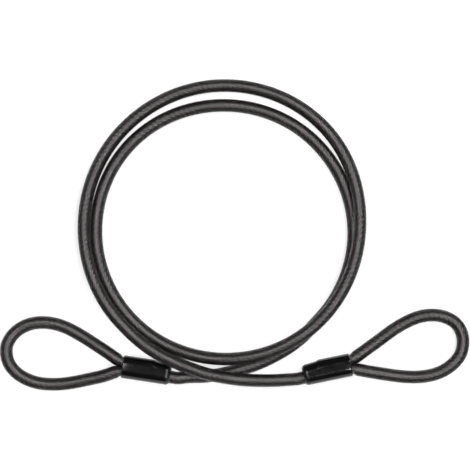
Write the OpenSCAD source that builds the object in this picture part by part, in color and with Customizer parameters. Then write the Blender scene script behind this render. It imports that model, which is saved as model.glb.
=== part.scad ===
// Double loop security cable, lying in a two-turn coil.
// One wire rope runs from end to end in a thick vinyl sheath. Each end is folded back
// into an eye, and the two legs of the eye are pressed side by side into a metal
// ferrule, which a moulded cover hides.
// Frame: +Z up from the floor that the cable lies on, +X from the left eye towards the
// right eye, origin at the middle of the bounding box, on the floor. Millimetres.

/* [Cable] */
// Outside diameter of the vinyl sheath
cable_d = 10; // [9.4:0.1:10.4]
// Diameter of the wire rope inside the sheath
rope_d = 6; // [5:0.1:6.2]
// Gap all round between the rope and the bore of the sheath
rope_clearance = 0.1; // [0.05:0.01:0.2]
// Depth of the flat that the sheath wears where it lies on the floor, in diameters
floor_flat = 0.1; // [0.05:0.01:0.15]
// Gap between two stretches of cable that lie on each other
lay_gap = 0.6; // [0.5:0.05:1]

/* [Coil] */
// Radius of the first turn, to the middle of the cable
coil_r = 101; // [97:0.5:105]

/* [Ferrules] */
// Length of the pressed ferrule
ferrule_len = 20.5; // [16:0.5:22]
// Metal between a rope and the outside of the ferrule
ferrule_wall = 1.3; // [0.9:0.05:1.35]
// Metal left between the two bores
ferrule_web = 0.4; // [0.2:0.05:0.5]
// Gap between a rope and its bore in the ferrule
crimp_clearance = 0.05; // [0.02:0.01:0.1]
// How many bands the press jaws leave round the ferrule
press_marks = 3; // [1:1:4]
// Width of one pressed band
press_mark_w = 3.6; // [2:0.2:4.4]
// Depth of a pressed band
press_mark_depth = 0.4; // [0.1:0.05:0.5]
// How far the cut end of the rope stands out of the ferrule
rope_end = 2; // [0.5:0.5:4]

/* [Covers] */
// Length of a cover from its mouth to its shoulder
cover_len = 38.5; // [36:0.5:45]
// Width of a cover, across the two legs
cover_w = 18; // [17.8:0.1:20]
// Height of a cover
cover_h = 13.6; // [13:0.1:15]
// Wall of a cover beside the legs, at its mouth
mouth_wall = 1; // [0.8:0.05:1.2]
// How far the sheath of each leg reaches into the mouth
mouth_grip = 3; // [2:0.5:4]
// Distance from the mouth to the ferrule
mouth_depth = 7; // [6:0.5:8]
// How far the sheath of the cable reaches into the shoulder end
shoulder_grip = 5; // [4:0.5:7]
// Length of the straight side over the cut rope end, from the mouth
straight_len = 24; // [18:0.5:28]
// How far the side over the cut rope end draws in towards the shoulder
shoulder_taper = 1.6; // [0:0.1:2.4]
// Edge radius of the shoulder, where the cable goes on
shoulder_edge = 3.8; // [2:0.1:4]
// Edge radius of the rim at the mouth
rim_edge = 0.7; // [0.3:0.1:1]
// Offset of the cable from the cover's middle where it comes out of the shoulder
exit_offset = 2.5; // [1.5:0.1:3]
// Gap between a cover and what it holds
cover_clearance = 0.1; // [0.05:0.01:0.2]

/* [Hidden] */

// Sides of the swept tubes. Ten sides give a flat below and a corner on either hand.
tube_sides = 10;
// Smoothness of turned surfaces, and of what a hull holds.
turned_fn = 64;
hull_fn = 32;
edge_fn = 16;
// Overlap that makes a cut or a joint between solids of one piece clean.
bite = 1;

// Heights of the cable's middle: on the floor, and one step for each layer above.
floor_z = cable_d * (0.5 - floor_flat);
layer_z = cable_d + lay_gap;
cover_z = cover_h / 2;

// Sections of the ferrule and of the cover's hollow, measured across the two legs.
rope_r = rope_d / 2;
sheath_r = cable_d / 2;
bore_r = rope_r + rope_clearance;
crimp_r = rope_r + crimp_clearance;
leg_offset = crimp_r + ferrule_web / 2;
ferrule_r = crimp_r + ferrule_wall;
mouth_half_w = cover_w / 2 - mouth_wall;
squeeze_half_w = mouth_half_w - cover_clearance;
// Half the gap between the two legs, where their sheaths press flat on each other.
leg_gap = 0.5;
flat_y = leg_gap / 2;

// Stations along a cover, from its shoulder at 0 to its mouth at cover_len.
ferrule_out = cover_len - mouth_depth;
ferrule_in = ferrule_out - ferrule_len;
rope_end_x = ferrule_in - rope_end;
leg_end_x = cover_len - mouth_grip;

// Where each cover's shoulder lies, seen from the coil's lowest point, which way its
// mouth looks, and on which side of it the leg runs that comes from the coil: 1 is the
// left hand, seen towards the mouth.
left_shoulder = [-40.4, -10];
left_turn = 171.4;
left_hand = 1;
right_shoulder = [63.3, -10.5];
right_turn = 11.6;
right_hand = -1;

// The eyes' routes from the mouth, as [distance out, distance to the left], in the order
// in which the rope runs: the left eye ends, and the right eye starts, on its main leg.
left_eye = [
    [13, -8.9], [24.6, -14.2], [36.9, -19.5], [50, -23.9], [63.4, -25.2], [76.6, -22.3],
    [87.2, -14.5], [92.6, -2.7], [89.5, 10.1], [79.9, 18.6], [66.7, 22.6], [53.5, 22.3],
    [40.5, 19.5], [27.2, 14.8], [13.8, 9.5]
];
right_eye = [
    [13, -8.3], [25.1, -12.9], [38.3, -17.5], [51.2, -20.4], [64.2, -20.7], [76.5, -17.2],
    [86.6, -9.3], [90.9, 3.1], [87.7, 15.2], [77.3, 23.2], [63.9, 26], [50.8, 24.2],
    [37.9, 19.8], [25.5, 14.1], [13.1, 8.6]
];
// Distance over which an eye settles from the cover's height to the floor.
settle_len = 40;

// The run from the left cover to the coil, and from the coil to the right cover, as
// [x, y, layer], seen from the coil's lowest point.
run_in = [
    [-28, -12.5, 0.18], [-14, -12.1, 0.05], [0, -10, 0], [14.1, -6.7, 0], [28.1, -2.1, 0],
    [41, 3.9, 0], [53.1, 11.1, 0], [63.2, 19, 0]
];
run_out = [
    [-64.9, 16.1, 0.84], [-53.4, 7.8, 0.9], [-39.9, 0.8, 0.94], [-26, -5, 0.98],
    [-13, -9.4, 1.02], [1, -12.2, 1.03], [15, -14.2, 0.91], [29, -15, 0.68], [42, -15, 0.45],
    [53, -14.4, 0.3]
];

// The coil's two turns, in even steps from its first angle. The first turn is a full round
// of [distance outside coil_r, layer]. The second is [diameters outside the first, layer]:
// it starts on top of the first turn, comes down beside it, and climbs again.
coil_start = -45;
first_turn = [[1.3, 0], [2.5, 0], [1.1, 0], [-0.6, 0], [-0.4, 0], [-1.5, 0], [-2.3, 0.1], [-1.9, 0.65]];
second_turn = [
    [0.03, 1.03], [0.42, 0.93], [1.32, 0.28], [1.56, 0], [1.21, 0.06], [0.91, 0.55],
    [0.78, 0.76]
];
key_step = 360 / len(first_turn);
coil_step = 10;
coil_keys = concat(
    [for (k = first_turn) [coil_r + k[0], k[1]]],
    [for (i = [0 : len(second_turn) - 1])
        [coil_r + first_turn[i][0] + second_turn[i][0] * cable_d, second_turn[i][1]]]
);

// ---- Curves ----

function ease(t) = let (u = min(max(t, 0), 1)) u * u * (3 - 2 * u);

// A smooth curve through p1 and p2, with p0 before them and p3 after them.
function between(p0, p1, p2, p3, t) =
    0.5 * (2 * p1 + (p2 - p0) * t + (2 * p0 - 5 * p1 + 4 * p2 - p3) * t * t
        + (3 * p1 - p0 - 3 * p2 + p3) * t * t * t);

// The value of a list of keys at place u, counted in keys.
function along(keys, u) =
    let (
        last = len(keys) - 1,
        i = min(floor(u), last - 1),
        before = i > 0 ? keys[i - 1] : 2 * keys[0] - keys[1],
        after = i + 2 <= last ? keys[i + 2] : 2 * keys[last] - keys[last - 1]
    )
    between(before, keys[i], keys[i + 1], after, u - i);

// Each span of a list of points cut in two along the smooth curve.
function halved(points) = [for (u = [0 : 0.5 : len(points) - 1]) along(points, u)];

function reversed(list) = [for (i = [len(list) - 1 : -1 : 0]) list[i]];

// ---- The rope's route, from one cut end to the other ----

// A point of a cover's own frame, seen from the coil's lowest point.
function placed(shoulder, turn, p) = [
    shoulder[0] + p[0] * cos(turn) - p[1] * sin(turn),
    shoulder[1] + p[0] * sin(turn) + p[1] * cos(turn),
    p[2]
];

// The middle of an eye's leg at distance x out of the mouth.
function leg_z(x) = cover_z + (floor_z - cover_z) * ease(x / settle_len);

function eye_route(eye) = [for (p = eye) [cover_len + p[0], p[1], leg_z(p[0])]];

// A leg of an eye, from its end in the cover to where it parts from the other leg.
mouth_clear = 1.2;
parting = 5.5;
leg_end_in = 0.25;
leg_y = (flat_y + squeeze_half_w) / 2;
function leg_route(hand) = [
    [leg_end_x, hand * (leg_y - leg_end_in), cover_z],
    [cover_len + mouth_clear, hand * leg_y, cover_z],
    [cover_len + parting, hand * (sheath_r + flat_y), leg_z(parting)]
];

// An eye from one leg's end to the other's, with the leg on side `hand` first.
function sheathed_eye(eye, hand) =
    let (first = leg_route(hand), last = reversed(leg_route(-hand)))
    concat([first[0]], halved(concat([first[1], first[2]], eye_route(eye), [last[0], last[1]])), [last[2]]);

// The two straight legs in the ferrule, from the cut end and to the cable.
function cut_leg(hand) = [
    [rope_end_x, hand * leg_offset, cover_z],
    [ferrule_out, hand * leg_offset, cover_z]
];
function main_leg(hand) = [
    [ferrule_out, hand * leg_offset, cover_z],
    [ferrule_in, hand * leg_offset, cover_z]
];

// The sheathed cable from inside the shoulder, straight for a diameter.
function shoulder_run(hand) = [
    for (x = [shoulder_grip, 0, shoulder_grip - cable_d]) [x, hand * exit_offset, cover_z]
];

function in_left(points) = [for (p = points) placed(left_shoulder, left_turn, p)];
function in_right(points) = [for (p = points) placed(right_shoulder, right_turn, p)];
function in_layers(points) = [for (p = points) [p[0], p[1], floor_z + p[2] * layer_z]];

// The coil's turns, a point every coil_step degrees.
function coil_point(turned) =
    let (key = along(coil_keys, turned / key_step), angle = coil_start + turned)
    [key[0] * cos(angle), coil_r + key[0] * sin(angle), floor_z + max(key[1], 0) * layer_z];
coil_points = [for (a = [0 : coil_step : key_step * (len(coil_keys) - 1)]) coil_point(a)];

left_eye_route = in_left(sheathed_eye(left_eye, -left_hand));
right_eye_route = in_right(sheathed_eye(right_eye, right_hand));
coil_route = concat(
    in_left(shoulder_run(left_hand)), in_layers(run_in), coil_points, in_layers(run_out),
    in_right(reversed(shoulder_run(right_hand)))
);
rope_route = concat(
    in_left(cut_leg(-left_hand)), left_eye_route, in_left(main_leg(left_hand)),
    coil_route,
    in_right(reversed(main_leg(right_hand))), right_eye_route, in_right(reversed(cut_leg(-right_hand)))
);

// ---- Swept tubes ----

function unit(v) = v / norm(v);
function direction(points, i) =
    unit(points[min(i + 1, len(points) - 1)] - points[max(i - 1, 0)]);

// One ring round the point points[i], as a list of corners.
function ring(points, i, r) =
    let (
        ahead = direction(points, i),
        side = unit(cross(ahead, [0, 0, 1])),
        up = cross(side, ahead),
        phase = 90 - 180 / tube_sides
    )
    [for (k = [0 : tube_sides - 1])
        let (a = phase + 360 * k / tube_sides)
        points[i] + r * (cos(a) * side + sin(a) * up)];

// A ring pressed flat where it would reach through the floor.
function on_floor(corners) = [for (p = corners) [p[0], p[1], max(p[2], 0)]];

function floor_rings(points, r) = [for (i = [0 : len(points) - 1]) on_floor(ring(points, i, r))];
function round_rings(points, r) = [for (i = [0 : len(points) - 1]) ring(points, i, r)];

// A corner of a leg's ring, pressed flat against the other leg, and squeezed to the
// section of the mouth as far as the leg is inside it.
function pressed(p, hand, squeezed) =
    let (
        y = hand * p[1],
        height = min(abs(p[2] - cover_z), sheath_r),
        widest = squeeze_half_w - sheath_r + sqrt(sheath_r * sheath_r - height * height),
        inner = max(y, flat_y)
    )
    [p[0], hand * (squeezed ? min(inner, widest) : inner), p[2]];

// How many rings at each end of an eye are pressed flat, and how many of them squeezed.
pressed_rings = 5;
squeezed_rings = 2;

// An eye's rings, in the cover's own frame. The first half is on side `hand`.
function eye_rings(points, hand) =
    let (last = len(points) - 1)
    [for (i = [0 : last])
        let (
            leg_hand = i < last / 2 ? hand : -hand,
            from_end = min(i, last - i)
        )
        [for (p = ring(points, i, sheath_r))
            let (q = from_end < pressed_rings ? pressed(p, leg_hand, from_end < squeezed_rings) : p)
            [q[0], q[1], max(q[2], 0)]]];

function quad(a, b, c, d) = [[a, b, c], [a, c, d]];
function joined(lists) = [for (list = lists) for (item = list) item];

// The faces of a wall of `count` rings whose corners start at `first`.
function wall_faces(count, first, inward) = joined([
    for (i = [0 : count - 2]) for (k = [0 : tube_sides - 1])
        let (
            a = first + i * tube_sides + k,
            b = first + i * tube_sides + (k + 1) % tube_sides,
            c = b + tube_sides,
            d = a + tube_sides
        )
        inward ? quad(a, d, c, b) : quad(a, b, c, d)
]);

// A solid bar through closed rings.
module bar(rings) {
    count = len(rings);
    end = (count - 1) * tube_sides;
    caps = [for (k = [1 : tube_sides - 2]) for (cap = [[0, k + 1, k], [end, end + k, end + k + 1]]) cap];
    polyhedron(points = joined(rings), faces = concat(wall_faces(count, 0, false), caps));
}

// A tube with a bore, between outer and inner rings.
module tube(outer, inner) {
    count = len(outer);
    inside = count * tube_sides;
    end = (count - 1) * tube_sides;
    rims = joined([
        for (k = [0 : tube_sides - 1])
            let (next = (k + 1) % tube_sides)
            concat(
                quad(k, inside + k, inside + next, next),
                quad(end + k, end + next, inside + end + next, inside + end + k)
            )
    ]);
    polyhedron(
        points = concat(joined(outer), joined(inner)),
        faces = concat(wall_faces(count, 0, false), wall_faces(count, inside, true), rims)
    );
}

// ---- The part's place: the middle of its box is over the origin ----

left_eye_local = sheathed_eye(left_eye, -left_hand);
right_eye_local = sheathed_eye(right_eye, right_hand);
coil_rings = floor_rings(coil_route, sheath_r);
left_eye_rings = [for (r = eye_rings(left_eye_local, -left_hand)) in_left(r)];
right_eye_rings = [for (r = eye_rings(right_eye_local, right_hand)) in_right(r)];
corners = joined(concat(coil_rings, left_eye_rings, right_eye_rings));
middle = [for (axis = [0, 1])
    (min([for (p = corners) p[axis]]) + max([for (p = corners) p[axis]])) / 2];
function centred(rings) = [for (r = rings) [for (p = r) p - [middle[0], middle[1], 0]]];

// ---- The least gaps, measured on the route's points ----

// Distance from point p to the stretch from a to b.
function to_stretch(p, a, b) =
    let (t = min(max((p - a) * (b - a) / ((b - a) * (b - a)), 0), 1))
    norm(p - a - t * (b - a));

// Points that lie nearer than this along the cable are its own run, not a neighbour.
own_run = 8;
coil_gap = min([
    for (i = [0 : len(coil_route) - 1]) for (j = [0 : len(coil_route) - 2])
        if (abs(i - j) > own_run) to_stretch(coil_route[i], coil_route[j], coil_route[j + 1])
]) - cable_d;
function eye_gap(rings) =
    let (last = len(rings) - 1)
    min([
        for (i = [0 : floor(last / 3)]) for (j = [0 : floor(last / 3)])
            for (p = rings[i]) for (q = rings[last - j]) norm(p - q)
    ]);
echo(coil_least_gap_mm = coil_gap);
echo(left_eye_least_gap_mm = eye_gap(left_eye_rings), right_eye_least_gap_mm = eye_gap(right_eye_rings));
function run_length(points) =
    let (steps = [for (i = [1 : len(points) - 1]) norm(points[i] - points[i - 1])])
    steps * [for (s = steps) 1];
echo(rope_length_mm = run_length(rope_route));

// ---- Pieces ----

module wire_rope() {
    color("silver") bar(centred(round_rings(rope_route, rope_r)));
}

module coil_sheath() {
    color("dimgray") tube(centred(coil_rings), centred(round_rings(coil_route, bore_r)));
}

module left_eye_sheath() {
    color("dimgray") tube(centred(left_eye_rings), centred(round_rings(left_eye_route, bore_r)));
}

module right_eye_sheath() {
    color("dimgray") tube(centred(right_eye_rings), centred(round_rings(right_eye_route, bore_r)));
}

// What is drawn along +X from a cover's shoulder, put where that cover lies.
module at_cover(shoulder, turn) {
    translate([shoulder[0] - middle[0], shoulder[1] - middle[1], cover_z])
        rotate([0, 0, turn])
            children();
}

// A straight prism along +X with two round sides.
module oval_bar(x, length, half_spread, r) {
    translate([x, 0, 0]) rotate([90, 0, 90]) linear_extrude(length) {
        for (hand = [-1, 1]) translate([hand * half_spread, 0]) circle(r, $fn = turned_fn);
        square([2 * half_spread, 2 * r], center = true);
    }
}

// The pressed ferrule, with a bore for each leg and the bands that the jaws leave.
module ferrule() {
    land_w = (ferrule_len - press_marks * press_mark_w) / (press_marks + 1);
    difference() {
        union() {
            oval_bar(ferrule_in, ferrule_len, leg_offset, ferrule_r - press_mark_depth);
            for (i = [0 : press_marks])
                oval_bar(ferrule_in + i * (land_w + press_mark_w), land_w, leg_offset, ferrule_r);
        }
        for (hand = [-1, 1])
            translate([ferrule_in - bite, hand * leg_offset, 0])
                rotate([0, 90, 0])
                    cylinder(h = ferrule_len + 2 * bite, r = crimp_r, $fn = turned_fn);
    }
}

// A disc across X with a rounded rim, as a hull's child.
module rounded_end(x, y, r, edge) {
    translate([x, y, 0]) rotate([0, 90, 0]) rotate_extrude($fn = hull_fn)
        intersection() {
            translate([r - edge, 0]) circle(edge, $fn = edge_fn);
            translate([0, -edge]) square([r, 2 * edge]);
        }
}

// The moulded cover. The cable's leg is on side `hand` of its middle.
module cover(hand) {
    half_h = cover_h / 2;
    half_spread = cover_w / 2 - half_h;
    difference() {
        hull() {
            for (y = [-half_spread, half_spread])
                rounded_end(cover_len - rim_edge, y, half_h, rim_edge);
            translate([cover_len - straight_len, -hand * half_spread, 0]) rotate([0, 90, 0])
                cylinder(h = straight_len - rim_edge, r = half_h, $fn = hull_fn);
            for (y = [half_spread, shoulder_taper - half_spread])
                rounded_end(shoulder_edge, hand * y, half_h, shoulder_edge);
        }
        // The bore for the sheathed cable
        translate([-bite, hand * exit_offset, 0]) rotate([0, 90, 0])
            cylinder(h = shoulder_grip + 2 * bite, r = sheath_r + cover_clearance, $fn = turned_fn);
        // The room for the rope's cut end and for its main leg
        oval_bar(shoulder_grip, ferrule_len, leg_offset, bore_r + cover_clearance);
        // The pocket for the ferrule
        oval_bar(
            ferrule_in - cover_clearance, cover_len - ferrule_in - mouth_grip + cover_clearance,
            leg_offset, ferrule_r + cover_clearance
        );
        // The mouth, where the two squeezed legs come out
        oval_bar(
            leg_end_x - bite, mouth_grip + 2 * bite,
            mouth_half_w - sheath_r - cover_clearance, sheath_r + cover_clearance
        );
    }
}

module left_ferrule() {
    color("lightsteelblue") at_cover(left_shoulder, left_turn) ferrule();
}

module right_ferrule() {
    color("lightsteelblue") at_cover(right_shoulder, right_turn) ferrule();
}

module left_cover() {
    color("black") at_cover(left_shoulder, left_turn) cover(left_hand);
}

module right_cover() {
    color("black") at_cover(right_shoulder, right_turn) cover(right_hand);
}

wire_rope();
coil_sheath();
left_eye_sheath();
right_eye_sheath();
left_ferrule();
right_ferrule();
left_cover();
right_cover();
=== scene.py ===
# %% [markdown]
# # A double loop security cable
#
# The real object is one stranded steel rope inside a thick sheath of smoked vinyl. Each end
# is folded back into an eye, and the two legs of the eye are pressed side by side into an
# aluminium ferrule, which a moulded black cover hides. The cable lies on a table in a coil
# of two turns.
#
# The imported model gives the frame: where every piece is and how large it is. This script
# dresses it. The three lengths of sheath become smooth tubes of smoked vinyl, the plain rope
# becomes nine real strands that show through them, and the covers get their true taper and
# a mould seam. Nothing is moved: each new piece takes the place of a CAD node.

import math

import bpy
import numpy as np
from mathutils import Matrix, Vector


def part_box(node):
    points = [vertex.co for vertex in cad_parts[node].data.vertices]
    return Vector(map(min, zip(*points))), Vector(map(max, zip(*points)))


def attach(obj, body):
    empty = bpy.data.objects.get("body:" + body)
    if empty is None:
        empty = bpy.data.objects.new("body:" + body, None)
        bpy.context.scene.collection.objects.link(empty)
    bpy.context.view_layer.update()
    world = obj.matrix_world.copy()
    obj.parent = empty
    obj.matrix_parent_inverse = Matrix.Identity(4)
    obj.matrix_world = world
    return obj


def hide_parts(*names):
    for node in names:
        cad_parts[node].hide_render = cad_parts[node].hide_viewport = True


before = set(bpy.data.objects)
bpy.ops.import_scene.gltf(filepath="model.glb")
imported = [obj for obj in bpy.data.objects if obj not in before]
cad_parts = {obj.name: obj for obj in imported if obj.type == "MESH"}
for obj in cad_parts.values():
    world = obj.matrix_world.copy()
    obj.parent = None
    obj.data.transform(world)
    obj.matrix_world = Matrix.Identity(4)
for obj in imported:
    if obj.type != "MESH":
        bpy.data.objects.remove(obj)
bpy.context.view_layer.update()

MM = 0.001
print("nodes:", ", ".join(sorted(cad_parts)))

# %% [markdown]
# ## The camera
#
# The picture is taken from straight above. A short lens close by would draw the upper turn of
# the coil larger than the lower one, so the camera stands two metres up with a long lens. Its
# distance follows from the lens: the sensor is to the lens as the width of the view is to the
# distance.

# %% The camera
view_width = 370.1 * MM
aim = (0.31 * MM, 0.07 * MM, 5 * MM)

camera_data = bpy.data.cameras.new("camera")
camera_data.lens = 200
distance = view_width * camera_data.lens / camera_data.sensor_width
camera = bpy.data.objects.new("camera", camera_data)
camera.location = (aim[0], aim[1], aim[2] + distance)
bpy.context.collection.objects.link(camera)
bpy.context.scene.camera = camera
print(f"camera {distance:.2f} m above the cable")

# %% [markdown]
# ## The cable's route
#
# A cable that is stiff lies in long easy curves, so its route is a short list of given points,
# with a smooth curve through them. The coil is different: it is nearly round, so its points
# come from a rule: a radius and a height at even steps round it.
# These are the same points as in the CAD source, so the dressed cable lies where the solid
# one does.

# %% Sizes of the cable and the covers
# The cable. It is flattened on the floor by a share of its diameter, floor_flat, and lay_gap
# is left between two turns that cross.
cable_d = 10 * MM
rope_d = 6 * MM
rope_clearance = 0.1 * MM
floor_flat = 0.1
lay_gap = 0.6 * MM
coil_r = 101 * MM

# The ferrule on the bare rope. The rope's ends go rope_end past it.
ferrule_len = 20.5 * MM
ferrule_wall = 1.3 * MM
ferrule_web = 0.4 * MM
crimp_clearance = 0.05 * MM
rope_end = 2 * MM

# The covers. The legs of the eye go mouth_grip into the mouth, and the ferrule lies mouth_depth
# behind its rim. The cable goes shoulder_grip into the shoulder, exit_offset off the middle.
cover_len = 38.5 * MM
cover_w = 18 * MM
cover_h = 13.6 * MM
mouth_wall = 1 * MM
mouth_grip = 3 * MM
mouth_depth = 7 * MM
shoulder_grip = 5 * MM
exit_offset = 2.5 * MM
cover_clearance = 0.1 * MM

# What follows from these. Two legs that lie side by side have leg_gap between them.
sheath_r = cable_d / 2
rope_r = rope_d / 2
crimp_r = rope_r + crimp_clearance
floor_z = cable_d * (0.5 - floor_flat)
layer_z = cable_d + lay_gap
cover_z = cover_h / 2
leg_offset = crimp_r + ferrule_web / 2
mouth_half_w = cover_w / 2 - mouth_wall
squeeze_half_w = mouth_half_w - cover_clearance
leg_gap = 0.5 * MM

# %% The points of the route, in millimetres
# Each cover: where its shoulder lies, seen from the coil's lowest point, which way its mouth
# looks in degrees, and the side on which the leg from the coil runs: 1 is the left hand.
covers = {
    "left": {"shoulder": (-40.4, -10), "turn": 171.4, "hand": 1},
    "right": {"shoulder": (63.3, -10.5), "turn": 11.6, "hand": -1},
}
# The eyes, from the cover's mouth: distance out, distance to the left.
left_eye = [
    (13, -8.9), (24.6, -14.2), (36.9, -19.5), (50, -23.9), (63.4, -25.2), (76.6, -22.3),
    (87.2, -14.5), (92.6, -2.7), (89.5, 10.1), (79.9, 18.6), (66.7, 22.6), (53.5, 22.3),
    (40.5, 19.5), (27.2, 14.8), (13.8, 9.5),
]
right_eye = [
    (13, -8.3), (25.1, -12.9), (38.3, -17.5), (51.2, -20.4), (64.2, -20.7), (76.5, -17.2),
    (86.6, -9.3), (90.9, 3.1), (87.7, 15.2), (77.3, 23.2), (63.9, 26), (50.8, 24.2),
    (37.9, 19.8), (25.5, 14.1), (13.1, 8.6),
]
# From the left cover to the coil, and from the coil to the right cover: x, y, layer.
run_in = [
    (-28, -12.5, 0.18), (-14, -12.1, 0.05), (0, -10, 0), (14.1, -6.7, 0), (28.1, -2.1, 0),
    (41, 3.9, 0), (53.1, 11.1, 0), (63.2, 19, 0),
]
run_out = [
    (-64.9, 16.1, 0.84), (-53.4, 7.8, 0.9), (-39.9, 0.8, 0.94), (-26, -5, 0.98),
    (-13, -9.4, 1.02), (1, -12.2, 1.03), (15, -14.2, 0.91), (29, -15, 0.68), (42, -15, 0.45),
    (53, -14.4, 0.3),
]
# The coil, at even steps of its turns. First turn: millimetres outside coil_r, layer. Second
# turn: diameters outside the first, layer.
first_turn = [
    (1.3, 0), (2.5, 0), (1.1, 0), (-0.6, 0), (-0.4, 0), (-1.5, 0), (-2.3, 0.1), (-1.9, 0.65),
]
second_turn = [
    (0.03, 1.03), (0.42, 0.93), (1.32, 0.28), (1.56, 0), (1.21, 0.06), (0.91, 0.55),
    (0.78, 0.76),
]
# Where the coil starts, and its step from key to key and from point to point, in degrees.
coil_start = -45
key_step = 360 / len(first_turn)
coil_step = 10
# An eye's two legs, in millimetres out of the mouth: squeezed up to mouth_clear, round again
# at parting and down on the floor at settle_len. Their ends in the mouth lie leg_end_in nearer
# to the middle.
mouth_clear = 1.2
parting = 5.5
settle_len = 40
leg_end_in = 0.25


# %% Curves
def eased(t):
    """A soft step from 0 to 1: t squared times (3 - 2t), with t held between 0 and 1."""
    t = np.clip(t, 0, 1)
    return t * t * (3 - 2 * t)


def through_keys(keys, places):
    """Reads a list of evenly spaced keys at places counted in keys.

    Between two keys runs a Catmull-Rom cubic: its slope at a key is half the step from the
    key before to the key after. Past either end the list goes on in a straight line.
    """
    keys, places = np.array(keys, float), np.array(places, float)
    padded = np.vstack([2 * keys[0] - keys[1], keys, 2 * keys[-1] - keys[-2]])
    i = np.minimum(places.astype(int), len(keys) - 2)
    t = (places - i)[:, None]
    p0, p1, p2, p3 = (padded[i + k] for k in range(4))
    return 0.5 * (
        2 * p1 + (p2 - p0) * t + (2 * p0 - 5 * p1 + 4 * p2 - p3) * t**2
        + (3 * p1 - p0 - 3 * p2 + p3) * t**3
    )


def lengths_along(line):
    """The length of the line up to each of its points."""
    steps = np.linalg.norm(np.diff(line, axis=0), axis=1)
    return np.concatenate([[0], np.cumsum(steps)])


def smooth_line(points, spacing):
    """A smooth curve through the points, read about every spacing.

    Each chord carries a cubic. Its slope at a point is the mean of the slopes of the two
    chords that meet there, the shorter one counting for more, so the curve bends evenly and
    never swings out beside a short chord.
    """
    places = lengths_along(points)
    slopes = np.gradient(points, places, axis=0)
    at = np.linspace(0, places[-1], round(places[-1] / spacing) + 1)
    i = np.clip(np.searchsorted(places, at, side="right") - 1, 0, len(points) - 2)
    span = np.diff(places)[i][:, None]
    t = (at - places[i])[:, None] / span
    return (
        points[i] * (1 - 3 * t**2 + 2 * t**3) + slopes[i] * span * (t - 2 * t**2 + t**3)
        + points[i + 1] * (3 * t**2 - 2 * t**3) + slopes[i + 1] * span * (t**3 - t**2)
    )


# %% The route itself, seen from the coil's lowest point
def in_cover(name, points):
    """Points of a cover's own frame, turned by the cover's turn and moved to its shoulder."""
    points = np.array(points, float)
    turn = math.radians(covers[name]["turn"])
    ahead = np.array([math.cos(turn), math.sin(turn), 0])
    left = np.array([-math.sin(turn), math.cos(turn), 0])
    start = np.array([*covers[name]["shoulder"], 0]) * MM
    return start + points[..., :1] * ahead + points[..., 1:2] * left + points[..., 2:] * (0, 0, 1)


def leg_height(out):
    """The height of an eye's leg, which settles from the cover's middle to the floor."""
    return cover_z + (floor_z - cover_z) * eased(out / settle_len)


def leg_of_eye(hand):
    """The leg on one side, from its end in the cover to where the two legs part."""
    leg_y = (leg_gap / 2 + squeeze_half_w) / 2
    return [
        [cover_len - mouth_grip, hand * (leg_y - leg_end_in * MM), cover_z],
        [cover_len + mouth_clear * MM, hand * leg_y, cover_z],
        [cover_len + parting * MM, hand * (sheath_r + leg_gap / 2), leg_height(parting)],
    ]


def eye_points(eye, hand):
    """The points of an eye from one leg's end to the other's, with the leg on side hand first.

    A point halfway between each two of the list keeps the loop round.
    """
    first, last = leg_of_eye(hand), leg_of_eye(-hand)[::-1]
    loop = [[cover_len + out * MM, left * MM, leg_height(out)] for out, left in eye]
    loop = first[1:] + loop + last[:2]
    with_halfway = through_keys(loop, np.linspace(0, len(loop) - 1, 2 * len(loop) - 1))
    return np.vstack([first[:1], with_halfway, last[2:]])


def ferrule_leg(hand, inner):
    """A straight leg in the ferrule, from its mouth side in to the station inner."""
    side = hand * leg_offset
    return [[cover_len - mouth_depth, side, cover_z], [inner, side, cover_z]]


def on_layers(points):
    """Points given as x, y and layer, with the layer turned into a height."""
    points = np.array(points, float)
    return np.column_stack([points[:, :2] * MM, floor_z + points[:, 2] * layer_z])


def coil_points():
    """The coil's turns: at each angle a radius and a height, read from the keys."""
    outer = [
        (first_turn[i][0] + out * cable_d / MM, layer) for i, (out, layer) in enumerate(second_turn)
    ]
    keys = first_turn + outer
    turned = np.arange(0, key_step * (len(keys) - 1) + 1, coil_step)
    out, layer = through_keys(keys, turned / key_step).T
    angle = np.radians(coil_start + turned)
    radius = coil_r + out * MM
    return np.column_stack(
        [
            radius * np.cos(angle),
            coil_r + radius * np.sin(angle),
            floor_z + np.maximum(layer, 0) * layer_z,
        ]
    )


def shoulder_run(name):
    """The sheathed cable from inside a cover's shoulder, straight for one diameter."""
    y = covers[name]["hand"] * exit_offset
    return in_cover(name, [[x, y, cover_z] for x in (shoulder_grip, 0, shoulder_grip - cable_d)])


ferrule_in = cover_len - mouth_depth - ferrule_len
left_hand, right_hand = covers["left"]["hand"], covers["right"]["hand"]
routes = {
    "left_eye": in_cover("left", eye_points(left_eye, -left_hand)),
    "coil": np.vstack(
        [shoulder_run("left"), on_layers(run_in), coil_points(), on_layers(run_out),
         shoulder_run("right")[::-1]]
    ),
    "right_eye": in_cover("right", eye_points(right_eye, right_hand)),
}
routes["rope"] = np.vstack(
    [
        in_cover("left", ferrule_leg(-left_hand, ferrule_in - rope_end)[::-1]),
        routes["left_eye"],
        in_cover("left", ferrule_leg(left_hand, ferrule_in)),
        routes["coil"],
        in_cover("right", ferrule_leg(right_hand, ferrule_in)[::-1]),
        routes["right_eye"],
        in_cover("right", ferrule_leg(-right_hand, ferrule_in - rope_end)),
    ]
)


# %% [markdown]
# ## Where the route lies in the frame
#
# The route is measured from the coil's lowest point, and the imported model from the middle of
# its box. The step between the two is the same for every piece, so it is worked out once: the
# box of the coil's tube is compared with the box of its CAD node.

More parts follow.
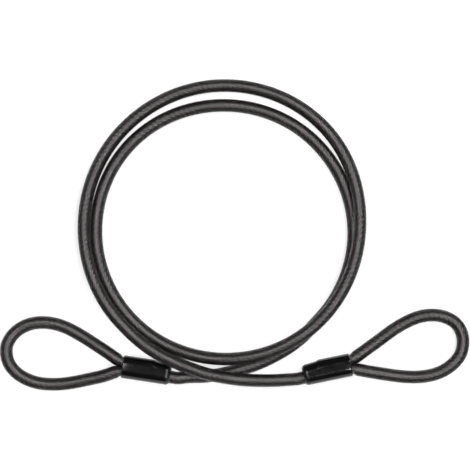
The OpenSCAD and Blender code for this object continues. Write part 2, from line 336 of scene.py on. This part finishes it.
# %% Move the route into the frame
def directions(line):
    """For each point: ahead along the line, level to its right side, and up square to both."""
    ahead = np.gradient(line, axis=0)
    ahead /= np.linalg.norm(ahead, axis=1, keepdims=True)
    side = np.cross(ahead, (0, 0, 1))
    side /= np.linalg.norm(side, axis=1, keepdims=True)
    return ahead, side, np.cross(side, ahead)


coil_side = directions(routes["coil"])[1] * sheath_r
coil_edges = np.vstack([routes["coil"] - coil_side, routes["coil"] + coil_side])
node_low, node_high = (np.array(corner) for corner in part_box("coil_sheath"))
step = (node_low + node_high - coil_edges.min(0) - coil_edges.max(0)) / 2
step[2] = 0
routes = {name: points + step for name, points in routes.items()}
edge_size = coil_edges.max(0) - coil_edges.min(0)
print("step into the frame, mm:", np.round(step / MM, 3))
print("coil box against its node's, mm:", np.round((edge_size - node_high + node_low)[:2] / MM, 3))
for name, points in routes.items():
    print(f"{name}: {lengths_along(smooth_line(points, MM))[-1]:.3f} m")


# %% [markdown]
# ## From a grid of points to a mesh
#
# Every new surface here is a grid of points, rows by columns, worked out by numpy as one
# array. One helper turns such grids into a mesh: neighbours in the grid become the corners of
# a face. The columns run round a ring and close on themselves. A wall with an outside and an
# inside closes its rows too, and a solid bar gets a cap on either end.

# %% The mesh helper
def grid_faces(grid, closed_rows, first):
    """The faces of a grid as rows of four corners, and the place of each corner on a UV map.

    u runs once round each ring and v is the length through the rings' middles, in metres.
    """
    rows, columns = grid.shape[:2]
    corner = np.arange(rows * columns).reshape(rows, columns) + first
    v = np.repeat(lengths_along(grid.mean(axis=1))[:, None], columns + 1, axis=1)
    u = np.repeat(np.linspace(0, 1, columns + 1)[None], rows, axis=0)
    if closed_rows:
        corner = np.vstack([corner, corner[:1]])
        u, v = np.vstack([u, u[:1]]), np.vstack([v, v[-1:]])
    corner = np.hstack([corner, corner[:, :1]])
    ring = [(slice(0, -1), slice(0, -1)), (slice(1, None), slice(0, -1)),
            (slice(1, None), slice(1, None)), (slice(0, -1), slice(1, None))]
    faces = np.stack([corner[place] for place in ring], axis=-1).reshape(-1, 4)
    uvs = np.stack([np.stack([u[p], v[p]], axis=-1) for p in ring], axis=2).reshape(-1, 2)
    return faces, uvs


def add_piece(name, grids, closed_rows=False, caps=False, sharp=35):
    """A mesh object from one or more grids.

    Edges that bend by more than sharp degrees stay crisp.
    """
    points, corners, totals, uvs, first = [], [], [], [], 0
    for grid in grids:
        rows, columns = grid.shape[:2]
        faces, places = grid_faces(grid, closed_rows, first)
        points.append(grid.reshape(-1, 3))
        corners.append(faces.ravel())
        totals.append(np.full(len(faces), 4))
        uvs.append(places)
        if caps:
            start = np.arange(columns) + first
            end = start[::-1] + (rows - 1) * columns
            corners += [start, end]
            totals.append([columns, columns])
            uvs.append(np.zeros((2 * columns, 2)))
        first += rows * columns
    points, corners = np.vstack(points), np.concatenate(corners)
    totals, uvs = np.concatenate(totals), np.vstack(uvs)
    mesh = bpy.data.meshes.new(name)
    mesh.vertices.add(len(points))
    mesh.vertices.foreach_set("co", points.ravel())
    mesh.loops.add(len(corners))
    mesh.loops.foreach_set("vertex_index", corners)
    mesh.polygons.add(len(totals))
    mesh.polygons.foreach_set("loop_start", np.cumsum(totals) - totals)
    mesh.polygons.foreach_set("loop_total", totals)
    mesh.uv_layers.new(name="along").uv.foreach_set("vector", uvs.ravel())
    mesh.update(calc_edges=True)
    mesh.validate()
    mesh.polygons.foreach_set("use_smooth", np.ones(len(totals), bool))
    mesh.set_sharp_from_angle(angle=math.radians(sharp))
    piece = bpy.data.objects.new(name, mesh)
    bpy.context.collection.objects.link(piece)
    print(f"{name}: {len(points)} points, {len(totals)} faces")
    return piece


# %% [markdown]
# ## The steel rope
#
# The rope is nine strands laid round a thicker core. Its lay is right-handed: looked along,
# each strand winds clockwise as it goes away, once in six rope diameters. A twisted bar with
# a bump would pass from afar, but the strands are what shows through the vinyl and what the
# sheath takes its ridges from, so each strand is made: a tube round a helix, and the helix is
# wound round the cable's own line. Strands that touch their neighbours and just fill the rope
# have the radius rope_r * s / (1 + s), where s is the sine of half the angle between two.

# %% The lay of the strands
strand_count = 9
half_sine = math.sin(math.pi / strand_count)
# A fiftieth less than what just fits, so that each strand keeps an edge of its own.
strand_fit = 0.98
strand_r = strand_fit * rope_r * half_sine / (1 + half_sine)
helix_r = rope_r - strand_r
lay_length = 6 * rope_d
print(f"strands of {2 * strand_r / MM:.2f} mm, one turn in {lay_length / MM:.0f} mm")


def lay_turn(line, start=0.0):
    """How far the lay has turned at each point, in radians: one turn back in a lay length."""
    return -2 * math.pi * (lengths_along(line) + start) / lay_length


def rings(line, radius, sides, turn=0.0):
    """Rings round a line: each point plus radius times (cos a * side + sin a * up).

    The angle a goes round in even steps from turn, which may differ from ring to ring.
    """
    ahead, side, up = directions(line)
    a = np.linspace(0, 2 * math.pi, sides, endpoint=False) + np.reshape(turn, (-1, 1))
    a, radius = a[..., None], np.asarray(radius)[..., None]
    return line[:, None] + radius * (np.cos(a) * side[:, None] + np.sin(a) * up[:, None])


# %% The rope
strand_sides = 8
rope_spacing = 2.2 * MM


def strand_line(line, start):
    """A helix round a line: helix_r * (cos a * side + sin a * up), where a follows the lay."""
    ahead, side, up = directions(line)
    a = (start + lay_turn(line))[:, None]
    return line + helix_r * (np.cos(a) * side + np.sin(a) * up)


rope_line = smooth_line(routes["rope"], rope_spacing)
strands = [rings(rope_line, helix_r - strand_r, strand_sides)] + [
    rings(strand_line(rope_line, 2 * math.pi * k / strand_count), strand_r, strand_sides)
    for k in range(strand_count)
]
steel_rope = add_piece("steel_rope", strands, caps=True)
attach(steel_rope, "root")
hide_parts("wire_rope")

# %% [markdown]
# ## The vinyl sheath
#
# The sheath is extruded over the rope: a tube with a wall of nearly two millimetres. It could
# be one solid bar of dark plastic, but smoked vinyl lets some light through, so it is made as
# what it is, with an outside and a bore, and light bends at both. Cooling vinyl shrinks onto
# the strands, which leaves a soft ridge over each. The columns of the grid wind with the lay,
# so that a ridge stays on its column and the mesh needs no more rows than the bends do.
#
# Where the sheath lies on the floor its weight has worn a slight flat, and where the two legs
# of an eye are forced into a cover they press flat on each other.

# %% The outside of the sheath
ring_spacing = 1.3 * MM
bore_spacing = 5 * MM
ring_sides = 6 * strand_count
bore_r = rope_r + rope_clearance
relief = 0.07 * MM
# The ridges drift in three waves. Each has a length along the cable, over 2 pi, and a number
# of turns round it. Their mean moves the share of the ridge by share_swing either way.
wave_lengths = np.array([11, 17.3, 43]) * MM
wave_turns = np.array([0, 2, -1])
middle_share = 0.66
share_swing = 0.34
# The gap between two pressed legs, and how far from the shoulder's end they may be pressed.
leg_touch = 0.05 * MM
press_end = cover_len + 3 * parting * MM


def ridged_radius(line, start):
    """The sheath's radius at each ring and column: more over a strand, less between two.

    The ridge is relief * cos(strands * a), times a share that drifts between a third and one
    along and round the cable, because the wall is nowhere quite even. A wave of the drift is
    sin(length along / wave length + turns * a).
    """
    along = (lengths_along(line) + start)[:, None]
    a = np.linspace(0, 2 * math.pi, ring_sides, endpoint=False)[None]
    waves = np.sin(along[..., None] / wave_lengths + a[..., None] * wave_turns)
    share = middle_share + share_swing * waves.mean(axis=-1)
    return sheath_r + relief * share * np.cos(strand_count * a)


def press_legs(grid, name):
    """Legs of an eye pressed flat: inwards to where they touch, outwards to the cover's mouth.

    A point at height h beside the cover's middle may lie no further out than the mouth's
    oval: the squeezed half width less the radius, plus the root of radius squared less h
    squared. The limit opens again outside the mouth.
    """
    local = grid - in_cover(name, [0, 0, 0]) - step
    turn = math.radians(covers[name]["turn"])
    x = local[..., 0] * math.cos(turn) + local[..., 1] * math.sin(turn)
    y = local[..., 1] * math.cos(turn) - local[..., 0] * math.sin(turn)
    rows = len(grid)
    near = x.mean(axis=1) < press_end
    first_half = np.arange(rows)[:, None] < rows / 2
    hand = np.where(first_half, np.sign(y[0].mean()), np.sign(y[-1].mean()))
    height = np.minimum(np.abs(grid[..., 2] - cover_z), sheath_r)
    widest = squeeze_half_w - sheath_r + np.sqrt(sheath_r**2 - height**2)
    widest = widest + np.maximum(x - cover_len - mouth_clear * MM, 0)
    pressed = hand * np.minimum(np.maximum(hand * y, leg_touch / 2), widest)
    y = np.where(near[:, None], pressed, y)
    flat = np.stack([x, y, grid[..., 2]], axis=-1)
    return in_cover(name, flat) + step


# %% The three lengths of sheath
def sheath(route_name, cover_name=None):
    """One length of sheath and the line that it follows.

    The bore goes back from the last ring to the first. It turns by the same angle as the
    outside, less its whole turns, so that the two ends meet column to column.
    """
    line = smooth_line(routes[route_name], ring_spacing)
    start = lengths_along(rope_line)[np.linalg.norm(rope_line - line[0], axis=1).argmin()]
    turn = lay_turn(line, start)
    outside = rings(line, ridged_radius(line, start), ring_sides, turn)
    if cover_name:
        outside = press_legs(outside, cover_name)
    outside[..., 2] = np.maximum(outside[..., 2], 0)
    bore_line = smooth_line(routes[route_name], bore_spacing)
    turned = math.remainder(turn[-1] - turn[0], 2 * math.pi)
    bore_turn = turn[0] + turned * np.linspace(0, 1, len(bore_line))
    bore = rings(bore_line, bore_r, ring_sides, bore_turn)[::-1]
    piece = add_piece(route_name + "_vinyl", [np.concatenate([outside, bore])], closed_rows=True)
    return piece, line


coil_vinyl, coil_line = sheath("coil")
left_eye_vinyl, left_eye_line = sheath("left_eye", "left")
right_eye_vinyl, right_eye_line = sheath("right_eye", "right")

# %% What each length of cable is
for piece, node in (
    (coil_vinyl, "coil_sheath"), (left_eye_vinyl, "left_eye_sheath"),
    (right_eye_vinyl, "right_eye_sheath"),
):
    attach(piece, "root")
    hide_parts(node)

# %% [markdown]
# ## The covers
#
# A cover is moulded over the crimp in one shot: an oval shell, open where the two legs come
# out, that draws in on one side towards its rounded shoulder, where only the cable goes on.
# The two halves of the mould leave a fine seam round it at half its height. Such a shell could
# be cut from a block with booleans, but the whole of it, outside and inside, is also one grid:
# its rows run from the rim of the mouth along the outside, round the shoulder to the edge at
# the cable, and back through the bore and the ferrule's pocket to the mouth. Then one formula
# for a ring across the cover is enough, and the edges stay even.

# %% One ring across a cover
straight_len = 24 * MM
shoulder_taper = 1.6 * MM
shoulder_edge = 3.8 * MM
rim_edge = 0.7 * MM
# Where the cover starts to draw in, part of the taper is a soft step.
step_len = 3 * MM
step_share = 0.4
# The seam's height, and the angle from its top to its foot.
seam_height = 0.1 * MM
seam_half_angle = 0.02

# A ring has a point on either seam and a quarter ring on each of its four sides. The two points
# at its top lie a hair apart, because the oval's flat starts there, and so do the two below.
quarter_points = 16
either_side = 1e-6
quarter_ring = np.linspace(seam_half_angle, math.pi / 2 - either_side, quarter_points)
half_ring = np.concatenate([[0], quarter_ring, math.pi - quarter_ring[::-1]])
ring_angles = np.concatenate([half_ring, half_ring + math.pi])
on_seam = np.abs(np.sin(ring_angles)) < either_side


def oval(x, spread, radius, middle=0.0):
    """A ring across the cover, all at x.

    Across it is middle + spread * sign(cos a) + radius * cos a, and up it is radius * sin a.
    """
    across = middle + spread * np.sign(np.cos(ring_angles)) + radius * np.cos(ring_angles)
    return np.stack([np.full_like(across, x), across, radius * np.sin(ring_angles)], axis=-1)


def body_ring(x, inset=0.0):
    """The body's section: an oval whose low side draws in from the end of the straight.

    The first share of the taper is a soft step, and the rest is even up to the shoulder's
    edge. The seam lifts the two points at half the height.
    """
    past = cover_len - straight_len - x
    taper_len = cover_len - straight_len - shoulder_edge
    drawn_in = step_share * eased(past / step_len)
    drawn_in += (1 - step_share) * np.clip(past / taper_len, 0, 1)
    low = cover_w / 2 - shoulder_taper * drawn_in
    spread = (cover_w / 2 + low - cover_h) / 2
    return oval(x, spread, cover_h / 2 - inset + seam_height * on_seam, (cover_w / 2 - low) / 2)


# %% The rounded shoulder
fine_steps = 721
# The shoulder ends half a clearance before the bore's own radius.
bore_edge_r = sheath_r + 1.5 * cover_clearance


def shoulder_rows(count):
    """Rows from the body to the bore: x = edge * (1 - sin w), drawn in by edge * (1 - cos w).

    Each column turns through w until it meets the bore, or right round to the flat end where
    it misses it. The rows share that turn out evenly, column by column.
    """
    turned = np.linspace(0, math.pi / 2, fine_steps)
    fine = np.stack([
        body_ring(shoulder_edge, shoulder_edge * (1 - math.cos(w))) for w in turned
    ])
    fine[..., 0] = shoulder_edge * (1 - np.sin(turned))[:, None]
    outside_bore = np.hypot(fine[..., 1] - exit_offset, fine[..., 2]) > bore_edge_r
    last = outside_bore.sum(axis=0) - 1
    pick = np.round(np.linspace(0, 1, count)[:, None] * last).astype(int)
    return list(fine[pick, np.arange(len(ring_angles))])


def bore_ring(x, toward):
    """The bore's circle, met by each column on its own way towards the bore's middle."""
    out = toward[:, 1:] - (exit_offset, 0)
    out *= (sheath_r + cover_clearance) / np.linalg.norm(out, axis=1, keepdims=True)
    return np.column_stack([np.broadcast_to(x, len(out)), out + (exit_offset, 0)])


# %% The rows of a cover, from the rim round to the mouth
# Rows round the rim's edge and round the shoulder. Between them, quarters of the straight,
# millimetres through the soft step, and one row before the shoulder.
rim_row_count = 7
shoulder_row_count = 13
straight_quarters = (0.25, 0.5, 0.75, 1)
step_rows = (0.8, 1.5, 2.2, 3)
before_shoulder = 6 * MM

rim = [
    body_ring(cover_len - rim_edge * (1 - math.cos(w)), rim_edge * (1 - math.sin(w)))
    for w in np.linspace(0, math.pi / 2, rim_row_count)
]
stations = [cover_len - straight_len * part for part in straight_quarters]
stations += [cover_len - straight_len - past * MM for past in step_rows] + [before_shoulder]
outside = [body_ring(x) for x in stations] + shoulder_rows(shoulder_row_count)
bore = [bore_ring(outside[-1][:, 0], outside[-1]), bore_ring(shoulder_grip, outside[-1])]
room = [
    oval(x, leg_offset, bore_r + cover_clearance)
    for x in (shoulder_grip, ferrule_in - cover_clearance)
]
pocket = [
    oval(x, leg_offset, crimp_r + ferrule_wall + cover_clearance)
    for x in (ferrule_in - cover_clearance, cover_len - mouth_grip)
]
mouth = [
    oval(x, mouth_half_w - sheath_r - cover_clearance, sheath_r + cover_clearance)
    for x in (cover_len - mouth_grip, cover_len)
]
shell = np.stack(rim + outside + bore + room + pocket + mouth)
print(f"one cover: {shell.shape[0]} rows of {shell.shape[1]} points")

# %% The moulded covers
cover_pieces = []
for name in covers:
    hand = covers[name]["hand"]
    turned_shell = shell[:, ::hand] * (1, hand, 1) + (0, 0, cover_z)
    placed_shell = in_cover(name, turned_shell) + step
    piece = add_piece(name + "_cover_moulded", [placed_shell], closed_rows=True)
    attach(piece, "root")
    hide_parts(name + "_cover")
    cover_pieces.append(piece)

# %% [markdown]
# ## Materials
#
# A material is a small tree of nodes. Its colours are written as sRGB hex values, as a colour
# picker shows them, and one function turns them into the linear numbers that Blender works
# with. Another adds a node: its inputs by name, each a number, a colour or the socket that
# feeds it. Patterns are scaled from their real sizes in millimetres.

# %% Colours and nodes
def linear(code):
    """An sRGB hex code as linear red, green, blue and alpha."""
    parts = [int(code[i:i + 2], 16) / 255 for i in (1, 3, 5)]
    return [c / 12.92 if c <= 0.04045 else ((c + 0.055) / 1.055) ** 2.4 for c in parts] + [1]


def new_tree(owner):
    """An empty node tree on a new material or world."""
    owner.use_nodes = True
    owner.node_tree.nodes.clear()
    return owner.node_tree


def add_node(tree, kind, inputs=None, **settings):
    """Adds a shader node with its settings, and fills or links its inputs."""
    node = tree.nodes.new("ShaderNode" + kind)
    for name, value in settings.items():
        setattr(node, name, value)
    for name, value in (inputs or {}).items():
        if isinstance(value, bpy.types.NodeSocket):
            tree.links.new(value, node.inputs[name])
        else:
            node.inputs[name].default_value = value
    return node


# %% [markdown]
# ### Smoked vinyl
#
# Plasticised PVC with a little carbon in it, extruded and left satin by the die. To the eye it
# is a dark grey that is darkest at the edges, where one looks through the most of it, with a
# soft broad sheen along the top. That could be painted as dark bands, but real absorption
# gives it from every side: the surface transmits, and the volume inside takes the light away.
# Lamps can't see through a refracting wall, so for shadow rays alone the wall is plain clear.

# %% Smoked vinyl, extruded and satin
smoked_vinyl = bpy.data.materials.new("smoked_vinyl_satin")
tree = new_tree(smoked_vinyl)
along_cable = add_node(tree, "UVMap", uv_map="along")
# The die leaves faint lines along the tube: sixty round its girth, and six to the metre.
die_lines = add_node(tree, "Mapping", {0: along_cable.outputs[0], "Scale": (60, 6, 1)})
die_noise = add_node(tree, "TexNoise", {"Vector": die_lines.outputs[0], "Scale": 1, "Detail": 2})
die_bump = add_node(tree, "Bump", {"Height": die_noise.outputs[0], "Distance": 0.01 * MM})
# The mesh has the ridge over each strand, and this gives it the crisper top of the real one.
# It comes and goes in patches of some twenty millimetres.
place = add_node(tree, "TexCoord")
girth = add_node(tree, "SeparateXYZ", {0: along_cable.outputs[0]})
phase = add_node(
    tree, "Math", {0: girth.outputs["X"], 1: strand_count * 2 * math.pi}, operation="MULTIPLY",
)
ridge = add_node(tree, "Math", {0: phase.outputs[0]}, operation="COSINE")
clouds = add_node(tree, "TexNoise", {
    "Vector": place.outputs["Object"], "Scale": 1 / (20 * MM), "Detail": 2,
})
crispness = add_node(tree, "MapRange", {
    "Value": clouds.outputs[0], "From Min": 0.35, "From Max": 0.65, "To Min": 0.1, "To Max": 1.0,
})
crisp_ridge = add_node(
    tree, "Math", {0: ridge.outputs[0], 1: crispness.outputs[0]}, operation="MULTIPLY",
)
ridge_bump = add_node(tree, "Bump", {
    "Height": crisp_ridge.outputs[0], "Distance": 0.05 * MM, "Normal": die_bump.outputs[0],
})
# Handling has polished it in patches of some fifteen millimetres.
patches = add_node(tree, "TexNoise", {
    "Vector": place.outputs["Object"], "Scale": 1 / (15 * MM), "Detail": 3,
})
polish = add_node(tree, "MapRange", {
    "Value": patches.outputs[0], "From Min": 0.3, "From Max": 0.7, "To Min": 0.35, "To Max": 0.42,
})
vinyl = add_node(tree, "BsdfPrincipled", {
    "Base Color": linear("#ffffff"), "Roughness": polish.outputs[0], "IOR": 1.53,
    "Transmission Weight": 1.0, "Normal": ridge_bump.outputs[0],
})
smoke = add_node(tree, "VolumeAbsorption", {"Color": linear("#a8a1a1"), "Density": 1500})
light_path = add_node(tree, "LightPath")
clear = add_node(tree, "BsdfTransparent", {"Color": linear("#ffffff")})
wall = add_node(tree, "MixShader", {
    0: light_path.outputs["Is Shadow Ray"], 1: vinyl.outputs[0], 2: clear.outputs[0],
})
add_node(tree, "OutputMaterial", {"Surface": wall.outputs[0], "Volume": smoke.outputs[0]})

# %% [markdown]
# ### Steel, aluminium and the moulded black
#
# The rope's wires are drawn steel with a zinc coat: light grey, and satin from the die. Seven
# wires make a strand, and the six outer ones wind round it the other way from the lay.
#
# The ferrule is soft aluminium squeezed in a press, whose jaws leave fine scores across it.
#
# The cover is PVC moulded in a mould with a fine eroded grain: nearly black, with a soft
# shine. Each of these is opaque, so a measured scan of its colour would add little: one
# Principled shader with a pattern in its normal and its roughness says what the eye can see.

# %% Drawn steel wire, zinc coated
outer_wires = 6
wire_lay = 9 * MM
steel = bpy.data.materials.new("drawn_steel_wire")
tree = new_tree(steel)
along_strand = add_node(tree, "UVMap", uv_map="along")
split = add_node(tree, "SeparateXYZ", {0: along_strand.outputs[0]})
wound = add_node(
    tree, "Math", {0: split.outputs["Y"], 1: -1 / wire_lay, 2: split.outputs["X"]},
    operation="MULTIPLY_ADD",
)
phase = add_node(
    tree, "Math", {0: wound.outputs[0], 1: outer_wires * 2 * math.pi}, operation="MULTIPLY",
)
wires = add_node(tree, "Math", {0: phase.outputs[0]}, operation="COSINE")
wire_bump = add_node(tree, "Bump", {"Height": wires.outputs[0], "Distance": 0.05 * MM})
place = add_node(tree, "TexCoord")
zinc = add_node(tree, "TexNoise", {
    "Vector": place.outputs["Object"], "Scale": 1 / (4 * MM), "Detail": 2,
})
zinc_tone = add_node(
    tree, "Mix", {"Factor": zinc.outputs[0], "A": linear("#d4d4d3"), "B": linear("#e8e7e6")},
    data_type="RGBA",
)
bare_steel = add_node(tree, "BsdfPrincipled", {
    "Base Color": zinc_tone.outputs["Result"], "Metallic": 1.0, "Roughness": 0.3,
    "Normal": wire_bump.outputs[0],
})
add_node(tree, "OutputMaterial", {"Surface": bare_steel.outputs[0]})

# %% Pressed aluminium
pressed_aluminium = bpy.data.materials.new("pressed_aluminium")
tree = new_tree(pressed_aluminium)
place = add_node(tree, "TexCoord")
# The scores are 0.3 mm wide and some 4 mm long.
score_size = (0.3 * MM, 4 * MM, 4 * MM)
scores = add_node(tree, "Mapping", {
    0: place.outputs["Object"], "Scale": [1 / size for size in score_size],
})
score_noise = add_node(tree, "TexNoise", {"Vector": scores.outputs[0], "Scale": 1, "Detail": 3})
score_bump = add_node(tree, "Bump", {"Height": score_noise.outputs[0], "Distance": 0.03 * MM})
score_shine = add_node(tree, "MapRange", {
    "Value": score_noise.outputs[0], "To Min": 0.3, "To Max": 0.5,
})
aluminium = add_node(tree, "BsdfPrincipled", {
    "Base Color": linear("#dcdde0"), "Metallic": 1.0, "Roughness": score_shine.outputs[0],
    "Normal": score_bump.outputs[0],
})
add_node(tree, "OutputMaterial", {"Surface": aluminium.outputs[0]})

# %% Moulded black PVC
moulded_pvc = bpy.data.materials.new("moulded_black_pvc")
tree = new_tree(moulded_pvc)
place = add_node(tree, "TexCoord")
# The mould's grain is a quarter of a millimetre, and is drawn four times as coarse to show.
drawn_grain = 4 * 0.25 * MM
grain = add_node(tree, "TexNoise", {
    "Vector": place.outputs["Object"], "Scale": 1 / drawn_grain, "Detail": 2,
})
grain_bump = add_node(tree, "Bump", {"Height": grain.outputs[0], "Distance": 0.015 * MM})
# Rubbing on what it is locked to has dulled it in patches of some six millimetres.
rubbed = add_node(tree, "TexNoise", {
    "Vector": place.outputs["Object"], "Scale": 1 / (6 * MM), "Detail": 3,
})
rubbed_shine = add_node(tree, "MapRange", {
    "Value": rubbed.outputs[0], "From Min": 0.3, "From Max": 0.7, "To Min": 0.13, "To Max": 0.18,
})
# Most of all it has dulled the rounded shoulder, over the last five millimetres of the cover.
along_cover = add_node(tree, "UVMap", uv_map="along")
from_mouth = add_node(tree, "SeparateXYZ", {0: along_cover.outputs[0]})
scuff = add_node(tree, "MapRange", {
    "Value": from_mouth.outputs["Y"], "From Min": cover_len - 5 * MM,
    "From Max": cover_len - 3 * MM, "To Min": 0.0, "To Max": 0.2,
})
shine = add_node(tree, "Math", {0: rubbed_shine.outputs[0], 1: scuff.outputs[0]}, operation="ADD")
rubbed_tone = add_node(
    tree, "Mix", {"Factor": rubbed.outputs[0], "A": linear("#050507"), "B": linear("#09090b")},
    data_type="RGBA",
)
black = add_node(tree, "BsdfPrincipled", {
    "Base Color": rubbed_tone.outputs["Result"], "Roughness": shine.outputs[0], "IOR": 1.53,
    "Normal": grain_bump.outputs[0],
})
add_node(tree, "OutputMaterial", {"Surface": black.outputs[0]})

# %% Each piece gets its material
for piece in (coil_vinyl, left_eye_vinyl, right_eye_vinyl):
    piece.data.materials.append(smoked_vinyl)
steel_rope.data.materials.append(steel)
for piece in cover_pieces:
    piece.data.materials.append(moulded_pvc)
for name in ("left_ferrule", "right_ferrule"):
    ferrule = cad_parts[name]
    ferrule.data.materials.clear()
    ferrule.data.materials.append(pressed_aluminium)

# %% [markdown]
# ## The studio
#
# A product is shot on white paper, which is so bright that it clips. Here the paper itself is
# only grey, and a glow that the camera, mirrors and glass see, but not the object's shading,
# lifts it to white. So the object is lit at a plain level and the floor keeps its shadow.
# A low white wall stands round it all, far away: it closes the view at a low angle, and glossy
# sides see it as they would in a studio.

# %% Paper floor and backdrop
def glowing_paper(name, paper_colour, glow):
    """A matt surface that adds a glow for camera, glossy and transmission rays."""
    material = bpy.data.materials.new(name)
    tree = new_tree(material)
    paper = add_node(tree, "BsdfDiffuse", {"Color": linear(paper_colour)})
    path = add_node(tree, "LightPath")
    seen = add_node(
        tree, "Math", {0: path.outputs["Is Camera Ray"], 1: path.outputs["Is Glossy Ray"]},
        operation="ADD",
    )
    seen = add_node(
        tree, "Math", {0: seen.outputs[0], 1: path.outputs["Is Transmission Ray"]},
        operation="ADD",
    )
    strength = add_node(
        tree, "Math", {0: seen.outputs[0], 1: glow}, operation="MULTIPLY", use_clamp=True,
    )
    light = add_node(tree, "Emission", {"Strength": strength.outputs[0]})
    both = add_node(tree, "AddShader", {0: paper.outputs[0], 1: light.outputs[0]})
    add_node(tree, "OutputMaterial", {"Surface": both.outputs[0]})
    return material


paper_grey = "#b0b0b0"
# The floor is lit as well, so it needs less glow than the wall to be white.
floor_glow = 0.68
wall_glow = 0.95
# The floor lies a hair below the cable, so that the two never share a height.
floor_gap = 0.02 * MM
paper_size = 40
wall_r = 0.48 * paper_size
wall_height = 3.5
wall_sides = 48

bpy.ops.mesh.primitive_plane_add(size=paper_size, location=(0, 0, -floor_gap))
floor = bpy.context.object
floor.name = "floor"
floor.data.materials.append(glowing_paper("floor_paper", paper_grey, floor_glow))

a = np.linspace(0, 2 * math.pi, wall_sides, endpoint=False)
wall_ring = np.column_stack([np.cos(a), np.sin(a), 0 * a]) * wall_r
backdrop = add_piece("backdrop", [np.stack([wall_ring, wall_ring + (0, 0, wall_height)])])
backdrop.data.materials.append(glowing_paper("backdrop_paper", paper_grey, wall_glow))

# %% [markdown]
# The light is three broad soft lamps in a ring round the camera, a little towards the far
# right. One lamp overhead would mirror in the flat tops of the covers and turn them grey. A
# ring leaves them black and still gives the cable one sheen, equally wide whichever way it
# runs. Each lamp is a sun with a wide disc, which lights the paper as evenly far away as under
# the object. A sun of strength s gives a level surface s times the cosine of its tilt, and
# white paper looks as bright as it is when all that adds up to pi. The room adds only a little.

# %% Lamps, room and picture
# How far each lamp stands to the right of the camera and beyond it, in degrees.
lamp_places = [(22, 20), (-15, 6), (17, -12)]
lamp_disc = math.radians(12)
for place in lamp_places:
    right, beyond = (math.radians(degrees) for degrees in place)
    data = bpy.data.lights.new("soft_lamp", "SUN")
    data.angle = lamp_disc
    data.energy = math.pi / len(lamp_places) / (math.cos(right) * math.cos(beyond))
    lamp = bpy.data.objects.new("soft_lamp", data)
    lamp.rotation_euler = (-beyond, right, 0)
    bpy.context.collection.objects.link(lamp)

world = bpy.data.worlds.new("dim_room")
bpy.context.scene.world = world
tree = new_tree(world)
path = add_node(tree, "LightPath")
# White to the camera, and a faint light to everything else.
room_level = add_node(tree, "MapRange", {
    "Value": path.outputs["Is Camera Ray"], "To Min": 0.06, "To Max": 1.0,
})
room = add_node(tree, "Background", {
    "Color": linear("#ffffff"), "Strength": room_level.outputs[0],
})
add_node(tree, "OutputWorld", {0: room.outputs[0]})

bpy.context.scene.view_settings.view_transform = "Standard"
